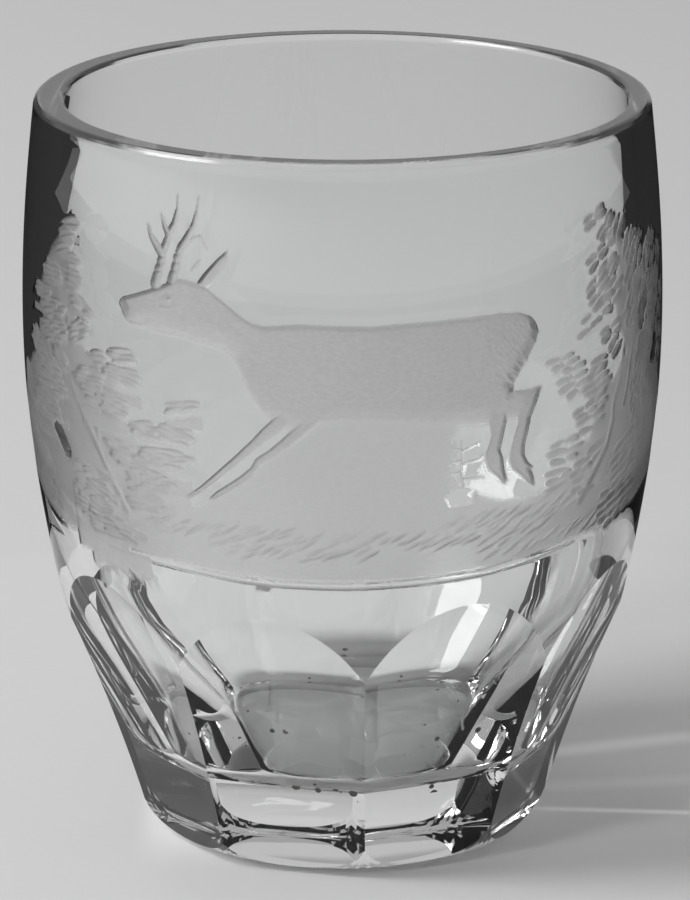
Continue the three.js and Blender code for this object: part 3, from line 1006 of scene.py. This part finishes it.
def addFloor():
    bpy.ops.mesh.primitive_plane_add(size=studio["floorSize"], location=(0, 0, -studio["floorGap"] * mm))
    floor = bpy.context.object
    floor.name = "floor"
    material, tree, shader = newMaterial("floorPaper")
    shader.inputs["Roughness"].default_value = studio["floorRoughness"]
    shader.inputs["Specular IOR Level"].default_value = studio["floorGloss"]
    where = addNode(tree, "TexCoord").outputs["Object"]
    full, until, gone = (d * mm for d in studio["paintedCausticRun"])
    total = studio["floorGrey"]
    # painted light: each caustic streak is added to the paper's grey
    for x, y, way, half, gain in studio["paintedCaustics"]:
        turned = addNode(tree, "Mapping", {
            "Vector": where, "Location": (x * mm, y * mm, 0), "Rotation": (0, 0, math.radians(way))},
            vector_type="TEXTURE")
        parts = addNode(tree, "SeparateXYZ", {"Vector": turned.outputs["Vector"]}).outputs
        paintedStreak = mapRange(tree, calculate(tree, "ABSOLUTE", parts["Y"]), half * mm, 0, toHigh=gain, smooth=True)
        for start, end in [(0, full), (gone, until)]:
            paintedStreak = calculate(tree, "MULTIPLY", paintedStreak, mapRange(tree, parts["X"], start, end, smooth=True))
        total = calculate(tree, "ADD", total, paintedStreak)
    tree.links.new(total, shader.inputs["Base Color"])
    floor.data.materials.append(material)


def addLamp(name):
    power, width, height, turn, rise, away, shown = studio["lamps"][name]
    turn, rise = math.radians(turn), math.radians(rise)
    aim = Vector((0, 0, studio["lampAim"]))
    way = (-math.cos(rise) * math.cos(turn), -math.cos(rise) * math.sin(turn), math.sin(rise))
    place = aim + away * Vector(way)
    bpy.ops.object.light_add(type="AREA", location=place)
    lamp = bpy.context.object
    lamp.name = name
    lamp.data.energy = power
    lamp.data.shape = "RECTANGLE"
    lamp.data.size = width
    lamp.data.size_y = height
    lamp.rotation_euler = (aim - place).to_track_quat("-Z", "Y").to_euler()
    lamp.visible_glossy = shown
    lamp.visible_transmission = shown


def darkMaterial(name, grey):
    material, tree, shader = newMaterial(name)
    shader.inputs["Base Color"].default_value = (grey, grey, grey, 1)
    shader.inputs["Roughness"].default_value = studio["darkRoughness"]
    shader.inputs["Specular IOR Level"].default_value = 0
    return material, tree, shader


def showWhere(tree, shader, share):
    # see-through where share is 0
    clear = addNode(tree, "BsdfTransparent").outputs["BSDF"]
    mix = addNode(tree, "MixShader", {"Fac": share, 1: clear, 2: shader.outputs["BSDF"]})
    tree.links.new(mix.outputs["Shader"], tree.nodes["Material Output"].inputs["Surface"])


def hangForGlass(sheet, name, material):
    # a sheet that only the glass shows
    sheet.name = name
    sheet.data.materials.append(material)
    sheet.visible_camera = False
    sheet.visible_diffuse = False
    sheet.visible_shadow = False


def addShade():
    # painted shadow: half a ring on the floor behind the foot, dim inside and running out
    inner, outer = studio["shadeRadii"]
    place = (0, 0, -studio["shadeGap"] * mm)
    bpy.ops.mesh.primitive_circle_add(vertices=64, radius=inner * mm, location=place)
    shade = bpy.context.object
    editPicked(shade.data, "VERT", [v.co.y < -studio["near"] for v in shade.data.vertices])
    bpy.ops.mesh.delete(type="VERT")
    bpy.ops.mesh.select_all(action="SELECT")
    bpy.ops.mesh.extrude_region_move()
    bpy.ops.transform.resize(value=(outer / inner, outer / inner, 1), center_override=place)
    editMode(False)
    material, tree, shader = darkMaterial("shadeSoft", studio["shadeGrey"])
    middle = (studio["shadeMiddle"][0] * mm, studio["shadeMiddle"][1] * mm, 0)
    place = addNode(tree, "TexCoord").outputs["Object"]
    far = addNode(tree, "VectorMath", {0: place, 1: middle}, operation="DISTANCE").outputs["Value"]
    near, gone = (d * mm for d in studio["shadeFade"])
    showWhere(tree, shader, mapRange(tree, far, near, gone, studio["shade"], 0, smooth=True))
    hangForGlass(shade, "shade", material)


def addFlag(name, side):
    # a dark sheet lying beside the paper and turned up at its far edge
    bpy.ops.object.select_all(action="DESELECT")
    corners = studio["floorEdge"][side]
    bpy.ops.mesh.primitive_circle_add(vertices=len(corners), radius=0.1, fill_type="NGON")
    flag = bpy.context.object
    spots = flag.data.vertices
    for spot, (x, y) in zip(spots, corners):
        spot.co = (side * x * mm, y * mm, 0)
    far = max(y for x, y in corners) * mm - studio["near"]
    editPicked(flag.data, "EDGE", [all(spots[v].co.y > far for v in e.vertices) for e in flag.data.edges])
    bpy.ops.mesh.extrude_region_move(TRANSFORM_OT_translate={"value": (0, 0, studio["flagHeight"] * mm)})
    bpy.ops.mesh.select_mode(type="VERT")
    editMode(False)
    hangForGlass(flag, name, darkMaterial(name + "Black", studio["darkGrey"])[0])


def addRing():
    # a dark ring that only mirrored light can see, so the glass has dark edges from every side
    inner, outer = studio["ringRadii"]
    bpy.ops.mesh.primitive_cylinder_add(vertices=96, radius=outer * mm, depth=0.001, location=(0, 0, 0))
    ring = bpy.context.object
    editPicked(ring.data, "FACE", [face.normal.z < 0.5 for face in ring.data.polygons])
    bpy.ops.mesh.delete(type="FACE")
    bpy.ops.mesh.select_all(action="SELECT")
    bpy.ops.mesh.inset(thickness=(outer - inner) * mm)
    bpy.ops.mesh.delete(type="FACE")
    bpy.ops.mesh.select_mode(type="VERT")
    editMode(False)
    material, tree, shader = darkMaterial("ringBlack", studio["darkGrey"])
    mirrored = addNode(tree, "LightPath").outputs["Glossy Depth"]
    showWhere(tree, shader, calculate(tree, "GREATER_THAN", mirrored, 0.5))
    hangForGlass(ring, "ring", material)


def addCamera():
    pitch = math.radians(studio["cameraPitch"])
    away = studio["lensDistance"]
    place = (studio["aimSide"], -away * math.cos(pitch), studio["aimHeight"] + away * math.sin(pitch))
    bpy.ops.object.camera_add(location=place, rotation=(math.pi / 2 - pitch, 0, 0))
    camera = bpy.context.object
    camera.data.lens, camera.data.sensor_width = studio["lens"]
    camera.data.clip_start = 0.01
    bpy.context.scene.camera = camera


def setWorld():
    # a pale room that darkens overhead
    world = bpy.data.worlds.new("studioWalls")
    bpy.context.scene.world = world
    world.use_nodes = True
    tree = world.node_tree
    up = addNode(tree, "SeparateXYZ", {"Vector": addNode(tree, "TexCoord").outputs["Generated"]}).outputs["Z"]
    greys = [(height, (grey, grey, grey, 1)) for height, grey in studio["roomGreys"]]
    tree.links.new(colourRamp(tree, up, greys), tree.nodes["Background"].inputs["Color"])
    tree.nodes["Background"].inputs["Strength"].default_value = 1.0


addCamera()
addFloor()
setWorld()
for name in studio["lamps"]:
    addLamp(name)
addShade()
addFlag("flagLeft", -1)
addFlag("flagRight", 1)
addRing()
print("studio set up")

glass = blowGlass()
glass.name = "cut_glass"
engraveGlass(glass)
finishGlass(glass)
glass.data.materials.clear()
glass.data.materials.append(clearGlassMaterial())
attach(glass, "root")
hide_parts("glass_body")

bpy.context.scene.view_settings.view_transform = "Standard"
